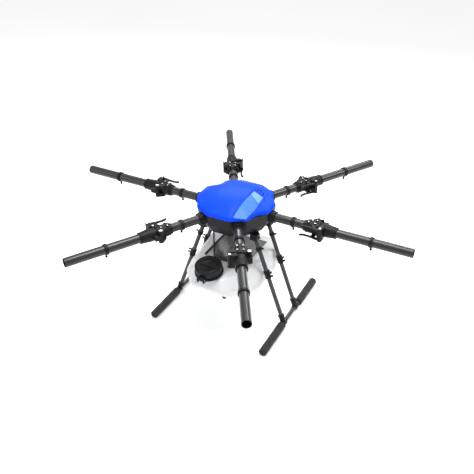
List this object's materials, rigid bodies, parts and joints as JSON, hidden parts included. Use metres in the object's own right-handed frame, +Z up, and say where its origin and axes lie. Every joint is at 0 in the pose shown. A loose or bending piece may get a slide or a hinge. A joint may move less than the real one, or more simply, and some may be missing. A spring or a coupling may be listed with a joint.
{
  "type": "folding spray drone airframe",
  "caption": "Folding spray drone airframe: blue hub, radial folding tube arms with latch levers, slung liquid tank with hinged cap, battery tray and skid landing gear.",
  "frame": {"origin": "on the ground under the middle of the hub", "axes": "+X along one arm to the right, -Y to the front where the tank's cap is, +Z up"},
  "size_m": [1.65, 1.449, 0.634],
  "materials": {
    "carbon_tube": "satin twill carbon fibre",
    "black_nylon": "moulded nylon, fine grain",
    "steel": "plated screws and pins",
    "blue_shell": "glossy royal blue moulding",
    "dark_shell": "dark grey moulding",
    "carbon_plate": "satin carbon plate",
    "circuit_board": "circuit board",
    "foam": "closed-cell foam sleeve",
    "tank_white": "translucent white polyethylene",
    "seal_rubber": "soft seal"
  },
  "bodies": {
    "root": {"inner_tubes": "carbon_tube", "inner_tube_rings": "black_nylon", "hinge_blocks": "black_nylon", "hinge_pins": "steel", "clamp_screws": "steel", "hub_cover": "blue_shell", "cover_strip": "blue_shell", "cover_hatch": "blue_shell", "vent_ribs": "blue_shell", "hub_shell": "dark_shell", "hub_plates": "carbon_plate", "root_clamps": "black_nylon", "plate_posts": "carbon_tube", "power_board": "circuit_board", "flight_controller": "dark_shell", "leg_brackets": "black_nylon", "leg_tubes": "carbon_tube", "leg_couplings": "black_nylon", "thumb_screws": "black_nylon", "tee_fittings": "black_nylon", "skid_tubes": "carbon_tube", "skid_plugs": "black_nylon", "foam_sleeves": "foam", "battery_tray": "carbon_plate", "tank": "tank_white", "filler_ring": "black_nylon", "cap_hinge_pin": "steel", "outlet_fitting": "black_nylon"},
    "arm_1": {"arm_sleeve_1": "black_nylon", "outer_tube_1": "carbon_tube", "outer_clip_1": "black_nylon", "lever_pin_1": "steel"},
    "lever_1": {"latch_lever_1": "black_nylon"},
    "arm_2": {"arm_sleeve_2": "black_nylon", "outer_tube_2": "carbon_tube", "outer_clip_2": "black_nylon", "lever_pin_2": "steel"},
    "lever_2": {"latch_lever_2": "black_nylon"},
    "arm_3": {"arm_sleeve_3": "black_nylon", "outer_tube_3": "carbon_tube", "outer_clip_3": "black_nylon", "lever_pin_3": "steel"},
    "lever_3": {"latch_lever_3": "black_nylon"},
    "arm_4": {"arm_sleeve_4": "black_nylon", "outer_tube_4": "carbon_tube", "outer_clip_4": "black_nylon", "lever_pin_4": "steel"},
    "lever_4": {"latch_lever_4": "black_nylon"},
    "arm_5": {"arm_sleeve_5": "black_nylon", "outer_tube_5": "carbon_tube", "outer_clip_5": "black_nylon", "lever_pin_5": "steel"},
    "lever_5": {"latch_lever_5": "black_nylon"},
    "arm_6": {"arm_sleeve_6": "black_nylon", "outer_tube_6": "carbon_tube", "outer_clip_6": "black_nylon", "lever_pin_6": "steel"},
    "lever_6": {"latch_lever_6": "black_nylon"},
    "cap": {"tank_cap": "black_nylon", "cap_seal": "seal_rubber"}
  },
  "joints": [
    {"name": "arm_1_fold", "type": "hinge", "parent": "root", "child": "arm_1", "pos_m": [0.405, 0.036, 0.544], "axis": [0, 0, 1], "range_deg": [0, 95]},
    {"name": "lever_1_open", "type": "hinge", "parent": "arm_1", "child": "lever_1", "pos_m": [0.428, -0.046, 0.544], "axis": [0, 0, 1], "range_deg": [0, 75]},
    {"name": "arm_2_fold", "type": "hinge", "parent": "root", "child": "arm_2", "pos_m": [0.17132, 0.36874, 0.544], "axis": [0, 0, 1], "range_deg": [0, 95]},
    {"name": "lever_2_open", "type": "hinge", "parent": "arm_2", "child": "lever_2", "pos_m": [0.25384, 0.34766, 0.544], "axis": [0, 0, 1], "range_deg": [0, 75]},
    {"name": "arm_3_fold", "type": "hinge", "parent": "root", "child": "arm_3", "pos_m": [-0.23368, 0.33274, 0.544], "axis": [0, 0, 1], "range_deg": [0, 95]},
    {"name": "lever_3_open", "type": "hinge", "parent": "arm_3", "child": "lever_3", "pos_m": [-0.17416, 0.39366, 0.544], "axis": [0, 0, 1], "range_deg": [0, 75]},
    {"name": "arm_4_fold", "type": "hinge", "parent": "root", "child": "arm_4", "pos_m": [-0.405, -0.036, 0.544], "axis": [0, 0, 1], "range_deg": [0, 95]},
    {"name": "lever_4_open", "type": "hinge", "parent": "arm_4", "child": "lever_4", "pos_m": [-0.428, 0.046, 0.544], "axis": [0, 0, 1], "range_deg": [0, 75]},
    {"name": "arm_5_fold", "type": "hinge", "parent": "root", "child": "arm_5", "pos_m": [-0.17132, -0.36874, 0.544], "axis": [0, 0, 1], "range_deg": [0, 95]},
    {"name": "lever_5_open", "type": "hinge", "parent": "arm_5", "child": "lever_5", "pos_m": [-0.25384, -0.34766, 0.544], "axis": [0, 0, 1], "range_deg": [0, 75]},
    {"name": "arm_6_fold", "type": "hinge", "parent": "root", "child": "arm_6", "pos_m": [0.23368, -0.33274, 0.544], "axis": [0, 0, 1], "range_deg": [0, 95]},
    {"name": "lever_6_open", "type": "hinge", "parent": "arm_6", "child": "lever_6", "pos_m": [0.17416, -0.39366, 0.544], "axis": [0, 0, 1], "range_deg": [0, 75]},
    {"name": "cap_open", "type": "hinge", "parent": "root", "child": "cap", "pos_m": [-0.015, -0.31072, 0.32969], "axis": [1, 0, 0], "range_deg": [0, 110]}
  ]
}
